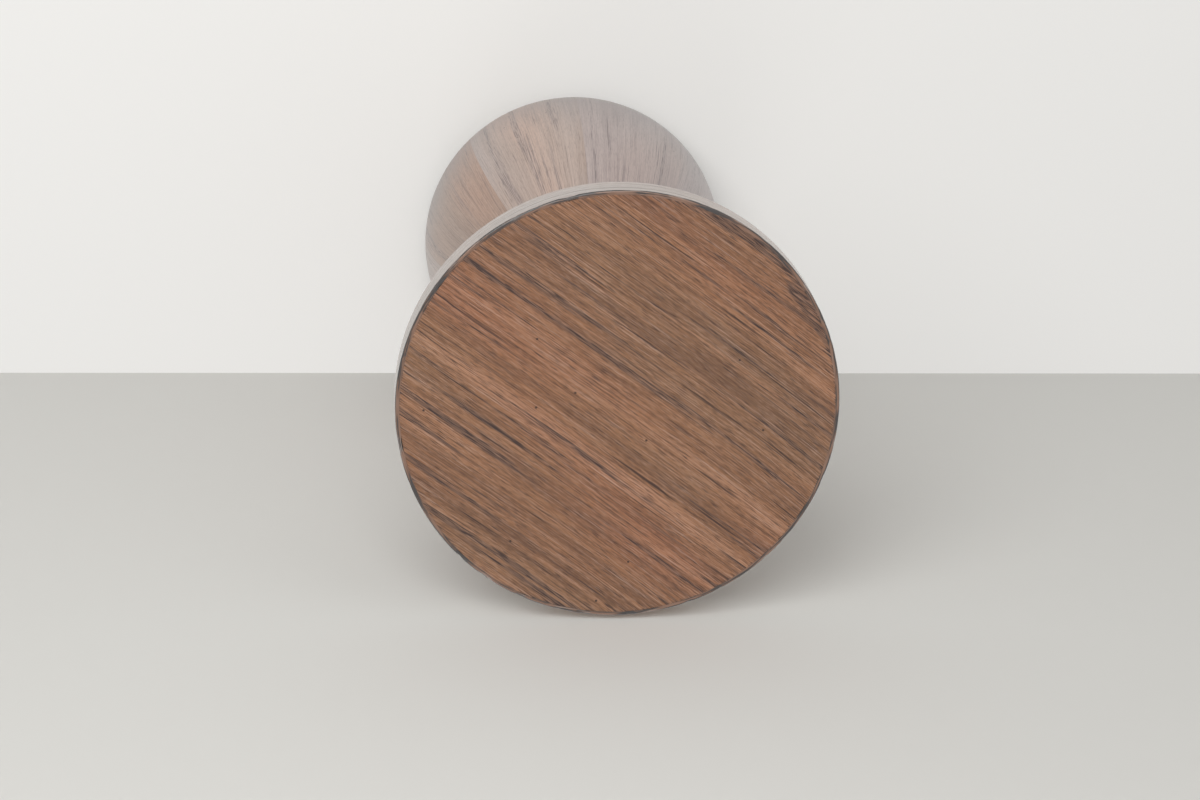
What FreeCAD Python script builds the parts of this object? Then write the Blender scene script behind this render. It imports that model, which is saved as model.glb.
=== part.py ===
"""Round side table: a veneered drum top on a hollow bell-shaped pedestal glued up from eight staves.

Millimetres, +Z up, origin on the floor under the middle of the base. One STEP file per piece.
"""
import FreeCAD, Part
import math
import os

# Overall sizes
TABLE_HEIGHT = 457.0
TOP_DIAMETER = 305.0
TOP_THICKNESS = 26.0
BASE_DIAMETER = 236.0
NECK_DIAMETER = 92.0

# Top
VENEER = 1.0
EDGE_BAND = 3.0
UPPER_ARRIS = 1.5
LOWER_ARRIS = 2.5

# Bell-shaped pedestal
STAVE_COUNT = 8
WIDEST_HEIGHT = 21.0
NECK_DROP = 140.0
HOLLOW_CURVE = 118.0
COLLAR_FLARE = 28.0
COLLAR_RIM = 16.0
NECK_WALL = 20.0
STAVE_FOOT = 22.0
LEDGE_WIDTH = 14.0
PLUG_LENGTH = 150.0

# Base board, tie rod and their hardware
BOARD_WEB = 6.0
ROD_DIAMETER = 10.0
ROD_END_INSET = 1.0
NUT_ACROSS_FLATS = 17.0
NUT_HEIGHT = 8.0
NUT_RECESS = 1.5
WASHER_DIAMETER = 28.0
WASHER_THICKNESS = 2.5
POCKET_MARGIN = 1.5

# Flange under the top, its screws and the dowels that stop the top turning
FLANGE_THICKNESS = 4.0
SCREW_COUNT = 6
SCREW_INSET = 11.5
SCREW_DIAMETER = 4.0
SCREW_HEAD_DIAMETER = 8.0
SCREW_HEAD_HEIGHT = 2.2
SCREW_BITE = 11.0
DOWEL_COUNT = 2
DOWEL_DIAMETER = 6.0
DOWEL_HALF_LENGTH = 12.0

# Floor glides
GLIDE_COUNT = 4
GLIDE_DIAMETER = 18.0
GLIDE_HEIGHT = 3.0
NAIL_DIAMETER = 2.5
NAIL_BITE = 14.0
NAIL_HEAD_DIAMETER = 6.0
NAIL_HEAD_HEIGHT = 1.0
NAIL_HEAD_SINK = 0.8

# Clearances: between curved faces that fit, and at the blind end of a hole
FIT = 0.15
HOLE_END = 0.5

# Radii and heights that follow from the sizes above
top_radius = TOP_DIAMETER / 2
core_radius = top_radius - EDGE_BAND
collar_z = TABLE_HEIGHT - TOP_THICKNESS
core_z = collar_z + VENEER
core_thickness = TOP_THICKNESS - 2 * VENEER
base_radius = BASE_DIAMETER / 2
neck_radius = NECK_DIAMETER / 2
neck_z = collar_z - NECK_DROP
bend_z = neck_z - HOLLOW_CURVE
foot_z = GLIDE_HEIGHT
foot_round = WIDEST_HEIGHT - foot_z
foot_radius = base_radius - foot_round
collar_radius = neck_radius + COLLAR_FLARE
recess_radius = collar_radius - COLLAR_RIM
recess_z = collar_z - FLANGE_THICKNESS
bore_radius = neck_radius - NECK_WALL
plug_z = recess_z - PLUG_LENGTH
rebate_radius = foot_radius - STAVE_FOOT
ledge_radius = rebate_radius - LEDGE_WIDTH
counterbore_depth = NUT_RECESS + NUT_HEIGHT + WASHER_THICKNESS
counterbore_z = foot_z + counterbore_depth
board_z = counterbore_z + BOARD_WEB
rod_radius = ROD_DIAMETER / 2
rod_hole_radius = rod_radius + FIT
nut_corner_radius = NUT_ACROSS_FLATS / math.sqrt(3)
pocket_radius = nut_corner_radius + POCKET_MARGIN
flange_radius = recess_radius - FIT
screw_circle = flange_radius - SCREW_INSET
dowel_circle = collar_radius - COLLAR_RIM / 2
glide_circle = rebate_radius + STAVE_FOOT / 2
stave_angle = 360.0 / STAVE_COUNT
nail_head_z = NAIL_HEAD_SINK + NAIL_HEAD_HEIGHT

ORIGIN = FreeCAD.Vector(0, 0, 0)
AXIS = FreeCAD.Vector(0, 0, 1)


def point(radius, z):
    """A point of a profile, drawn in the plane y = 0."""
    return FreeCAD.Vector(radius, 0, z)


def line(start, end):
    """A straight edge between two (radius, z) pairs."""
    return Part.LineSegment(point(*start), point(*end)).toShape()


def path(*corners):
    """Straight edges through the given (radius, z) pairs."""
    return [line(start, end) for start, end in zip(corners, corners[1:])]


def arc(centre, radius, from_degrees, to_degrees):
    """An arc about a (radius, z) centre; degrees run from the outward direction up towards +Z."""
    def at(degrees):
        turn = math.radians(degrees)
        return point(centre[0] + radius * math.cos(turn), centre[1] + radius * math.sin(turn))
    middle = (from_degrees + to_degrees) / 2
    return Part.Arc(at(from_degrees), at(middle), at(to_degrees)).toShape()


def turned(edges, degrees=360.0):
    """The solid swept by a closed profile about the table's axis."""
    face = Part.Face(Part.Wire(Part.__sortEdges__(edges)))
    return face.revolve(ORIGIN, AXIS, degrees)


def cylinder(radius, z_low, z_high, x=0.0, y=0.0):
    """An upright cylinder between two heights."""
    return Part.makeCylinder(radius, z_high - z_low, FreeCAD.Vector(x, y, z_low), AXIS)


def cone(radius_low, radius_high, z_low, z_high, x=0.0, y=0.0):
    """An upright cone frustum between two heights."""
    return Part.makeCone(radius_low, radius_high, z_high - z_low, FreeCAD.Vector(x, y, z_low), AXIS)


def ring_places(count, circle, first_degrees):
    """Evenly spaced (x, y) places on a circle."""
    turns = [math.radians(first_degrees + 360.0 * i / count) for i in range(count)]
    return [(circle * math.cos(turn), circle * math.sin(turn)) for turn in turns]


def bored(solid, holes):
    """A solid with every hole of a list cut out of it."""
    for hole in holes:
        solid = solid.cut(hole)
    return solid


def write(name, shape):
    """Save one piece, after a test that it is a sound solid or a group of sound solids."""
    if not shape.isValid() or not shape.Solids:
        raise ValueError(name + " is not a sound solid")
    shape.exportStep("parts/" + name + ".step")
    print(name, len(shape.Solids), round(shape.Volume))


# Places of the small pieces, all centred on staves
screw_places = ring_places(SCREW_COUNT, screw_circle, stave_angle / 2)
dowel_places = ring_places(DOWEL_COUNT, dowel_circle, stave_angle / 2)
glide_places = ring_places(GLIDE_COUNT, glide_circle, stave_angle / 2)


def screw(x, y, margin=0.0):
    """Countersunk wood screw driven up through the flange; margin makes the hole that it sits in."""
    head_z = recess_z + SCREW_HEAD_HEIGHT
    tip_z = core_z + SCREW_BITE + (HOLE_END if margin else 0.0)
    head_radius = SCREW_HEAD_DIAMETER / 2 + margin
    shank_radius = SCREW_DIAMETER / 2 + margin
    head = cone(head_radius, shank_radius, recess_z, head_z, x, y)
    return head.fuse(cylinder(shank_radius, head_z, tip_z, x, y))


def dowel(x, y, margin=0.0):
    """Plain dowel half in the collar and half in the top; margin makes the hole that it sits in."""
    reach = DOWEL_HALF_LENGTH + (HOLE_END if margin else 0.0)
    return cylinder(DOWEL_DIAMETER / 2 + margin, collar_z - reach, collar_z + reach, x, y)


def nail(x, y, margin=0.0):
    """Nail that holds a glide; margin makes the hole that it sits in, open at the floor."""
    head_low = 0.0 if margin else NAIL_HEAD_SINK
    tip_z = foot_z + NAIL_BITE + (HOLE_END if margin else 0.0)
    head = cylinder(NAIL_HEAD_DIAMETER / 2 + margin, head_low, nail_head_z, x, y)
    return head.fuse(cylinder(NAIL_DIAMETER / 2 + margin, nail_head_z, tip_z, x, y))


def hex_nut(z_low):
    """Hexagon nut on the rod."""
    corners = [FreeCAD.Vector(x, y, z_low) for x, y in ring_places(6, nut_corner_radius, 0.0)]
    outline = Part.Face(Part.makePolygon(corners + corners[:1]))
    block = outline.extrude(FreeCAD.Vector(0, 0, NUT_HEIGHT))
    return block.cut(cylinder(rod_hole_radius, z_low, z_low + NUT_HEIGHT))


screw_holes = [screw(x, y, FIT) for x, y in screw_places]
dowel_holes = [dowel(x, y, FIT) for x, y in dowel_places]
nail_holes = [nail(x, y, FIT) for x, y in glide_places]


def top_core():
    """Board that carries the veneers and the edge band."""
    return bored(cylinder(core_radius, core_z, core_z + core_thickness), screw_holes + dowel_holes)


def top_face_veneer():
    """Show veneer on the upper face."""
    return cylinder(core_radius, TABLE_HEIGHT - VENEER, TABLE_HEIGHT)


def top_back_veneer():
    """Balancing veneer on the underside."""
    return bored(cylinder(core_radius, collar_z, core_z), screw_holes + dowel_holes)


def top_edge_band():
    """Hoop of solid wood bent round the rim, with eased edges above and below."""
    upper = min(UPPER_ARRIS, EDGE_BAND / 2)
    lower = min(LOWER_ARRIS, EDGE_BAND * 5 / 6)
    edges = path((core_radius, TABLE_HEIGHT), (core_radius, collar_z), (top_radius - lower, collar_z))
    edges.append(arc((top_radius - lower, collar_z + lower), lower, -90, 0))
    edges += path((top_radius, collar_z + lower), (top_radius, TABLE_HEIGHT - upper))
    edges.append(arc((top_radius - upper, TABLE_HEIGHT - upper), upper, 0, 90))
    edges += path((top_radius - upper, TABLE_HEIGHT), (core_radius, TABLE_HEIGHT))
    return turned(edges)


def bell_outline():
    """Outer edges of the pedestal: rounded foot, full belly, waisted neck, flared collar."""
    narrowing = base_radius - neck_radius
    rise = neck_z - WIDEST_HEIGHT
    both_radii = (narrowing ** 2 + rise ** 2) / (2 * narrowing)
    belly = both_radii * (bend_z - WIDEST_HEIGHT) / rise
    hollow = both_radii - belly
    slant = math.degrees(math.asin(rise / both_radii))
    flare = (NECK_DROP ** 2 + COLLAR_FLARE ** 2) / (2 * COLLAR_FLARE)
    flare_angle = math.degrees(math.asin(NECK_DROP / flare))
    return [
        arc((foot_radius, WIDEST_HEIGHT), foot_round, -90, 0),
        arc((base_radius - belly, WIDEST_HEIGHT), belly, 0, slant),
        arc((neck_radius + hollow, neck_z), hollow, 180 + slant, 180),
        arc((neck_radius + flare, neck_z), flare, 180, 180 - flare_angle),
    ]


def bell_bore():
    """Inner edges of the pedestal, from the collar down to the rebate for the base board."""
    return path(
        (collar_radius, collar_z),
        (recess_radius, collar_z),
        (recess_radius, recess_z),
        (bore_radius, recess_z),
        (bore_radius, plug_z),
        (ledge_radius, board_z),
        (rebate_radius, board_z),
        (rebate_radius, foot_z),
        (foot_radius, foot_z),
    )


def staves():
    """The pedestal's staves, each with the holes that fall in it."""
    first = turned(bell_outline() + bell_bore(), stave_angle)
    made = []
    for i in range(STAVE_COUNT):
        stave = first.copy()
        stave.rotate(ORIGIN, AXIS, stave_angle * i)
        made.append(bored(stave, dowel_holes + nail_holes))
    return made


def neck_plug():
    """Solid plug glued into the neck, drilled for the rod and pocketed for the upper nut."""
    plug = cylinder(bore_radius - FIT, plug_z, recess_z)
    pocket = cylinder(pocket_radius, recess_z - NUT_HEIGHT - HOLE_END, recess_z)
    return bored(plug, [cylinder(rod_hole_radius, plug_z, recess_z), pocket])


def base_board():
    """Round board in the foot, counterbored for the lower nut."""
    board = cylinder(rebate_radius - FIT, foot_z, board_z)
    counterbore = cylinder(WASHER_DIAMETER / 2 + POCKET_MARGIN, foot_z, counterbore_z)
    return bored(board, [counterbore, cylinder(rod_hole_radius, foot_z, board_z)])


def top_flange():
    """Steel plate screwed under the top."""
    plate = cylinder(flange_radius, recess_z, collar_z)
    return bored(plate, screw_holes + [cylinder(rod_hole_radius, recess_z, collar_z)])


def tie_rod():
    """Threaded rod that draws the top and the base board together, shown without its thread."""
    return cylinder(rod_radius, foot_z + NUT_RECESS, collar_z - ROD_END_INSET)


def rod_washer():
    """Wide washer under the lower nut."""
    disc = cylinder(WASHER_DIAMETER / 2, counterbore_z - WASHER_THICKNESS, counterbore_z)
    return disc.cut(cylinder(rod_hole_radius, foot_z, counterbore_z))


def glides():
    """Moulded pads that the table stands on."""
    pads = [cylinder(GLIDE_DIAMETER / 2, 0.0, GLIDE_HEIGHT, x, y) for x, y in glide_places]
    return Part.Compound([pad.cut(hole) for pad, hole in zip(pads, nail_holes)])


def main():
    """Write every piece."""
    os.makedirs("parts", exist_ok=True)
    write("top_core", top_core())
    write("top_face_veneer", top_face_veneer())
    write("top_back_veneer", top_back_veneer())
    write("top_edge_band", top_edge_band())
    for number, stave in enumerate(staves(), 1):
        write("pedestal_stave_" + str(number), stave)
    write("neck_plug", neck_plug())
    write("base_board", base_board())
    write("top_flange", top_flange())
    write("flange_nut", hex_nut(recess_z - NUT_HEIGHT))
    write("flange_screws", Part.Compound([screw(x, y) for x, y in screw_places]))
    write("tie_rod", tie_rod())
    write("rod_washer", rod_washer())
    write("rod_nut", hex_nut(foot_z + NUT_RECESS))
    write("locating_dowels", Part.Compound([dowel(x, y) for x, y in dowel_places]))
    write("floor_glides", glides())
    write("glide_nails", Part.Compound([nail(x, y) for x, y in glide_places]))


main()
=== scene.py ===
"""Looks of a small round side table: a veneered top on a turned, bell-shaped pedestal of eight staves."""
import logging
import math
from abc import ABC, abstractmethod
from collections.abc import Iterable, Mapping, Sequence
from dataclasses import dataclass, field, replace
from enum import Enum

import bmesh
import bpy
from mathutils import Matrix, Vector


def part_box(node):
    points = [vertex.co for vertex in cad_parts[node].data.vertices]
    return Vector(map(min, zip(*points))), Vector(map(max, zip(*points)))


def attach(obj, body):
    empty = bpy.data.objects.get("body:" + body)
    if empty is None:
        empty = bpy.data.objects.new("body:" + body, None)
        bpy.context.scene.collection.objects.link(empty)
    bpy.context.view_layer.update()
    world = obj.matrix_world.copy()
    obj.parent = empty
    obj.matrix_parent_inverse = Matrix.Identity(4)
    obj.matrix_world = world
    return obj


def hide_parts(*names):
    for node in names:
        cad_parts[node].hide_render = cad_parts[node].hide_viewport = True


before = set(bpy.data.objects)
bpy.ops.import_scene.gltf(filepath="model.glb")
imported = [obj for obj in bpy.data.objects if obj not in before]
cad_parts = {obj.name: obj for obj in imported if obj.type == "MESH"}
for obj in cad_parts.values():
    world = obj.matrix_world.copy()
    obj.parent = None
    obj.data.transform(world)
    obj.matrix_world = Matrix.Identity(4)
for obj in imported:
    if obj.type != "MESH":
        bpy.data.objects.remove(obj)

LOG = logging.getLogger("side_table")
BODY = "root"
MM = 0.001
SHARP_ANGLE = math.radians(32.0)
# Points of an outline that are closer than this, in millimetres, are one
SAME_POINT = 1e-6
MATH = "ShaderNodeMath"
FADE = "ShaderNodeMapRange"
SOFT = {"interpolation_type": "SMOOTHSTEP"}

Node = bpy.types.Node
Socket = bpy.types.NodeSocket
Tree = bpy.types.NodeTree
Colour = tuple[float, float, float, float]
Value = Node | Socket | tuple | float
Outline = list[tuple[float, float]]


def linear(hex_colour: str) -> Colour:
    """Turns an sRGB hex colour into Blender's linear colour.

    Args:
        hex_colour: Six hex digits after a hash.

    Returns:
        Linear red, green and blue, and an alpha of 1.
    """
    channels = [int(hex_colour[i:i + 2], 16) / 255.0 for i in (1, 3, 5)]
    red, green, blue = (c / 12.92 if c <= 0.04045 else ((c + 0.055) / 1.055) ** 2.4 for c in channels)
    return red, green, blue, 1.0


def add_node(
    tree: Tree, kind: str, inputs: Mapping[str | int, Value] | Sequence[Value] = (), **settings: object,
) -> Node:
    """Adds one node, sets it up and links it.

    Args:
        tree: The node tree that gets the node.
        kind: Blender's name for the node's type.
        inputs: What goes into its inputs, by name or in order: a value to set, a socket to link from, or a
            node whose first output is linked.
        **settings: Properties of the node itself.

    Returns:
        The new node.
    """
    made = tree.nodes.new(kind)
    for name, value in settings.items():
        setattr(made, name, value)
    pairs = inputs.items() if isinstance(inputs, Mapping) else enumerate(inputs)
    for key, value in pairs:
        source = value.outputs[0] if isinstance(value, Node) else value
        if isinstance(source, Socket):
            tree.links.new(source, made.inputs[key])
        else:
            made.inputs[key].default_value = source
    return made


@dataclass(frozen=True)
class Finish(ABC):
    """The finish of one real material.

    Attributes:
        name: The material's name.
    """

    name: str

    @abstractmethod
    def surface(self, tree: Tree) -> Node:
        """Draws the finish.

        Args:
            tree: The material's nodes.

        Returns:
            The finished shader.
        """

    def build(self) -> bpy.types.Material:
        """Makes the material.

        Returns:
            The new material.
        """
        material = bpy.data.materials.new(self.name)
        material.use_nodes = True
        tree = material.node_tree
        tree.nodes.clear()
        add_node(tree, "ShaderNodeOutputMaterial", [self.surface(tree)])
        return material


class GrainPath(Enum):
    """Where a wood's grain runs on its piece."""

    ACROSS_TOP = "straight across the round top"
    ALONG_UV = "along the second axis of the piece's own UV map, laid out in metres"


@dataclass(frozen=True)
class GrainField:
    """One stretched noise field of a wood.

    Attributes:
        along_mm: Typical length along the grain.
        across_mm: Typical width across the grain.
        detail: How many finer octaves ride on it.
        shift: Moves the field, so that two fields of one size differ.
    """

    along_mm: float
    across_mm: float
    detail: float
    shift: float

    FINENESS = 0.55
    CROSS_SHIFT = 1.7

    def draw(self, tree: Tree, grain: Value) -> Node:
        """Draws the field.

        Args:
            tree: The material's nodes.
            grain: Coordinates in metres, the first along the grain.

        Returns:
            A node that gives a number from 0 to 1.
        """
        finer = 1.0 / (self.across_mm * MM)
        scale = (1.0 / (self.along_mm * MM), finer, finer)
        place = (self.shift, self.shift * self.CROSS_SHIFT, 0.0)
        spread = add_node(tree, "ShaderNodeMapping", {"Vector": grain, "Scale": scale, "Location": place})
        noise = {"Vector": spread, "Scale": 1.0, "Detail": self.detail, "Roughness": self.FINENESS}
        return add_node(tree, "ShaderNodeTexNoise", noise)


@dataclass(frozen=True)
class Wash:
    """A colour that shows where a number passes from one level to another.

    Attributes:
        low: Level at which the colour starts to show.
        high: Level at which it shows most.
        cover: How much of it shows there.
        colour: The colour.
    """

    low: float
    high: float
    cover: float
    colour: str

    def lay(self, tree: Tree, level: Value, under: Value) -> Socket:
        """Lays the colour over another.

        Args:
            tree: The material's nodes.
            level: The number that it follows.
            under: The colour below.

        Returns:
            The mixed colour.
        """
        amount = add_node(tree, FADE, (level, self.low, self.high, 0.0, self.cover), **SOFT)
        # Places 0, 6 and 7 are a colour mix's amount and its two colours, and place 2 is its result
        layers = {0: amount, 6: under, 7: linear(self.colour)}
        return add_node(tree, "ShaderNodeMix", layers, data_type="RGBA").outputs[2]


@dataclass(frozen=True)
class Burnish:
    """A dark, hand-rubbed edge: stain that gathered on an arris and was only partly wiped off.

    Attributes:
        heights_mm: Heights at which the burnish is full.
        width_mm: How far it fades from there.
        colour: The burnished colour.
        thinned: Share of the colour that the rubbing takes off where it is strongest.
    """

    heights_mm: tuple[float, ...]
    width_mm: float
    colour: str = "#1C120D"
    thinned: float = 0.65

    RUBBING = GrainField(30.0, 1.8, 4.0, 6.6)
    # Levels of the rubbing at which it takes most of the stain off, and none of it
    TAKEN_OFF = (0.60, 0.46)
    # In widths: how far the rubbing moves the edge, and where the burnish starts and is full
    WANDER = 3.0
    EDGE = (1.3, 0.4)

    def lay(self, tree: Tree, place: Value, grain: Value, under: Value) -> Socket:
        """Darkens the edges.

        Args:
            tree: The material's nodes.
            place: The point in the table's frame, in metres.
            grain: Coordinates in metres, the first along the grain.
            under: The colour below.

        Returns:
            The mixed colour.
        """
        width = self.width_mm * MM
        start, full = (share * width for share in self.EDGE)
        rubbing = self.RUBBING.draw(tree, grain)
        centred = add_node(tree, MATH, (rubbing, 0.5), operation="SUBTRACT")
        wander = add_node(tree, MATH, (centred, width * self.WANDER), operation="MULTIPLY")
        levels = (rubbing, *self.TAKEN_OFF, 1.0 - self.thinned, 1.0)
        kept = add_node(tree, FADE, levels, **SOFT)
        up = add_node(tree, "ShaderNodeSeparateXYZ", [place]).outputs[2]
        colour = under
        for height in self.heights_mm:
            above = add_node(tree, MATH, (up, height * MM), operation="SUBTRACT")
            gap = add_node(tree, MATH, [above], operation="ABSOLUTE")
            worn = add_node(tree, MATH, (gap, wander), operation="ADD")
            near = add_node(tree, FADE, (worn, start, full), **SOFT)
            dark = add_node(tree, MATH, (near, kept), operation="MULTIPLY")
            colour = Wash(0.0, 1.0, 1.0, self.colour).lay(tree, dark, colour)
        return colour


@dataclass(frozen=True)
class RimStain:
    """Stain left in the pores near the rim of a round face, most of all where the grain runs along it.

    Attributes:
        radius_mm: Distance from the axis at which every pore is stained.
        width_mm: How far that fades inwards.
        patch_mm: How much further the stained patches reach in on the two sides along the grain.
    """

    radius_mm: float
    width_mm: float
    patch_mm: float

    PATCHES = GrainField(90.0, 60.0, 1.0, 2.9)
    PATCH_LEVELS = (0.38, 0.58)
    # The sides along the grain start at this share of the radius
    LONG_SIDE = 0.80

    def draw(self, tree: Tree, place: Value, grain: Value) -> Node:
        """Finds where the pores are stained.

        Args:
            tree: The material's nodes.
            place: The point in the table's frame, in metres.
            grain: Coordinates in metres, the first along the grain.

        Returns:
            A node that gives a number from 0, clean, to 1, stained.
        """
        radius, width = self.radius_mm * MM, self.width_mm * MM
        axes = add_node(tree, "ShaderNodeSeparateXYZ", [place]).outputs
        flat = add_node(tree, "ShaderNodeCombineXYZ", (axes[0], axes[1]))
        reach = add_node(tree, "ShaderNodeVectorMath", [flat], operation="LENGTH").outputs["Value"]
        sideways = add_node(tree, MATH, [axes[1]], operation="ABSOLUTE")
        side = (sideways, self.LONG_SIDE * radius, radius, 0.0, self.patch_mm * MM)
        long_side = add_node(tree, FADE, side, **SOFT)
        patches = self.PATCHES.draw(tree, grain)
        patch = add_node(tree, FADE, (patches, *self.PATCH_LEVELS), **SOFT)
        deeper = add_node(tree, MATH, (long_side, patch, reach), operation="MULTIPLY_ADD")
        centred = add_node(tree, MATH, (Burnish.RUBBING.draw(tree, grain), 0.5), operation="SUBTRACT")
        worn = add_node(tree, MATH, (centred, width * Burnish.WANDER, deeper), operation="MULTIPLY_ADD")
        return add_node(tree, FADE, (worn, radius - width, radius), **SOFT)


@dataclass(frozen=True)
class StainedWood(Finish):
    """Open-pored brown hardwood, stained, wiped and sealed satin.

    The stain settles in the pores and in soft streaks of the grain, so the eye sees a calm brown ground
    with long grey streaks made of fine dark dashes, and broad olive and reddish areas between them.

    Attributes:
        path: Where the grain runs.
        burnish: Its dark edges, the later ones over the earlier.
        rim_stain: Where its rim is stained, or None.
        light: Palest wood.
        middle: Usual wood.
        dark: Darkest plain wood.
        streak: Grey veil of stain in the streaks.
        pore: Stain in the pores.
        fleck: Pale fibres that the wiping bared.
        ruddy: Warm areas.
        olive: Cool areas.
        area_cover: How far the warm and cool areas take over.
        streak_cover: How much of the streaks' veil shows at most.
        pore_cover: How much of the pores' colour shows at most.
        contrast: How strongly the plain grain shows, where 1 is the bare face.
        roughness: Of the sealed surface.
        coat: Weight of the clear sealer.
        coat_roughness: Of the sealer.
        foot_shade: Painted shade: a darker, greyer colour towards the foot, by height in metres, or None.
    """

    path: GrainPath
    burnish: tuple[Burnish, ...] = ()
    rim_stain: RimStain | None = None
    light: str = "#B98869"
    middle: str = "#966949"
    dark: str = "#62412D"
    streak: str = "#5D4940"
    pore: str = "#2C2020"
    fleck: str = "#D4BBAD"
    ruddy: str = "#A4694C"
    olive: str = "#84654A"
    area_cover: float = 0.42
    streak_cover: float = 0.7
    pore_cover: float = 0.85
    contrast: float = 1.0
    roughness: float = 0.52
    coat: float = 0.0
    coat_roughness: float = 0.3
    foot_shade: Wash | None = None

    # Bands, areas, lines of the figure, stained streaks and single dark threads, as large as the face shows
    BANDS = GrainField(420.0, 14.0, 3.0, 0.3)
    AREAS = GrainField(260.0, 70.0, 1.0, 4.1)
    FIGURE = GrainField(190.0, 2.2, 4.0, 7.9)
    STREAKS = GrainField(230.0, 6.5, 3.0, 12.3)
    THREADS = GrainField(110.0, 2.6, 3.0, 8.4)
    # Real fibres and pores are 0.1 to 0.3 mm wide; they are drawn wider so that a render can show them
    FIBRES = GrainField(55.0, 0.8, 3.0, 2.2)
    GRIT = GrainField(6.0, 0.6, 1.0, 9.3)
    PORES = GrainField(14.0, 0.7, 1.0, 5.6)
    # Levels of the fibres that break a veil up, and how much of it is left there and elsewhere
    BROKEN = (0.62, 0.40, 0.4, 1.0)
    # Levels between which streaks, open pores, a streak's dashes and threads come in
    STREAKED = (0.54, 0.65)
    OPENED = (0.57, 0.70)
    DASHED = (0.48, 0.62)
    THREADED = (0.60, 0.70)
    OPEN_SHARE = 0.7
    DRIFT = GrainField(272.0, 170.0, 1.0, 3.7)
    DRIFT_MM = 16.0
    GRAIN_TURN = math.radians(8.0)
    SPECK_SPACING_MM = 15.0
    SPECK_SHARE = 0.95
    SPECK_EDGE = (0.075, 0.035)
    FOOT_SHADE_DRIFT_MM = 60.0
    PORE_DEPTH_MM = 0.25
    PORE_ROUGHER = 0.25
    FIBRE_HEIGHT = 0.5
    BUMP = 0.5
    LACQUER_IOR = 1.5

    def coordinates(self, tree: Tree) -> tuple[Node, Socket]:
        """Finds each point's place along and across the grain.

        Args:
            tree: The material's nodes.

        Returns:
            Coordinates in metres with the first along the grain, and the point in the table's frame.
        """
        source = add_node(tree, "ShaderNodeTexCoord").outputs
        if self.path is GrainPath.ACROSS_TOP:
            turned = {"Vector": source["Object"], "Rotation": (0.0, 0.0, -self.GRAIN_TURN)}
            laid = add_node(tree, "ShaderNodeMapping", turned)
        else:
            axes = add_node(tree, "ShaderNodeSeparateXYZ", [source["UV"]]).outputs
            laid = add_node(tree, "ShaderNodeCombineXYZ", (axes[1], axes[0]))
        drift = self.DRIFT.draw(tree, laid)
        centred = add_node(tree, MATH, (drift, 0.5), operation="SUBTRACT")
        lift = add_node(tree, MATH, (centred, self.DRIFT_MM * MM), operation="MULTIPLY")
        sideways = add_node(tree, "ShaderNodeCombineXYZ", {1: lift})
        return add_node(tree, "ShaderNodeVectorMath", (laid, sideways), operation="ADD"), source["Object"]

    def specks(self, tree: Tree, grain: Value) -> Node:
        """Marks the few dark distress specks.

        Args:
            tree: The material's nodes.
            grain: Coordinates in metres.

        Returns:
            A node that gives 1 in a speck.
        """
        spacing = {"Vector": grain, "Scale": 1.0 / (self.SPECK_SPACING_MM * MM)}
        cells = add_node(tree, "ShaderNodeTexVoronoi", spacing, voronoi_dimensions="2D").outputs
        chance = add_node(tree, "ShaderNodeSeparateColor", [cells["Color"]])
        chosen = add_node(tree, MATH, (chance, self.SPECK_SHARE), operation="GREATER_THAN")
        close = add_node(tree, FADE, (cells["Distance"], *self.SPECK_EDGE), **SOFT)
        return add_node(tree, MATH, (chosen, close), operation="MULTIPLY")

    def plain_grain(self, tree: Tree, grain: Value, fibres: Node) -> Socket:
        """Colours the wood before its stain.

        Args:
            tree: The material's nodes.
            grain: Coordinates in metres.
            fibres: The field of its fibres.

        Returns:
            The colour.
        """
        bands, areas, figure, grit = (
            one.draw(tree, grain) for one in (self.BANDS, self.AREAS, self.FIGURE, self.GRIT)
        )
        strength = self.contrast
        layers = (
            (bands, Wash(0.52, 0.28, 0.65 * strength, self.dark)),
            (bands, Wash(0.50, 0.74, 0.65 * strength, self.light)),
            (areas, Wash(0.53, 0.30, self.area_cover, self.ruddy)),
            (areas, Wash(0.47, 0.70, self.area_cover, self.olive)),
            (figure, Wash(0.50, 0.30, 0.45 * strength, self.dark)),
            (figure, Wash(0.54, 0.74, 0.40 * strength, self.light)),
            (fibres, Wash(0.49, 0.36, 0.75 * strength, self.dark)),
            (fibres, Wash(0.54, 0.72, 0.26 * strength, self.fleck)),
            (grit, Wash(0.50, 0.28, 0.36 * strength, self.pore)),
            (grit, Wash(0.50, 0.72, 0.12 * strength, self.fleck)),
        )
        colour: Value = linear(self.middle)
        for level, wash in layers:
            colour = wash.lay(tree, level, colour)
        return colour

    def stain(self, tree: Tree, grain: Value, zone: Node, broken: Node) -> Node:
        """Finds the dark marks of the stain.

        Every pore holds a little of it, the pores of a streak hold more, and a thread is one long pore line.

        Args:
            tree: The material's nodes.
            grain: Coordinates in metres.
            zone: Where the streaks are.
            broken: Where the fibres leave a veil whole.

        Returns:
            A node that gives 1 in a mark.
        """
        pores, threads = self.PORES.draw(tree, grain), self.THREADS.draw(tree, grain)
        most = self.OPEN_SHARE * self.contrast
        open_pores = add_node(tree, FADE, (pores, *self.OPENED, 0.0, most), **SOFT)
        dashes = add_node(tree, FADE, (pores, *self.DASHED), **SOFT)
        dashes = add_node(tree, MATH, (dashes, zone), operation="MULTIPLY")
        lines = add_node(tree, FADE, (threads, *self.THREADED), **SOFT)
        lines = add_node(tree, MATH, (lines, broken), operation="MULTIPLY")
        marks = self.specks(tree, grain)
        for stained in (open_pores, dashes, lines):
            marks = add_node(tree, MATH, (marks, stained), operation="MAXIMUM")
        return marks

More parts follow.
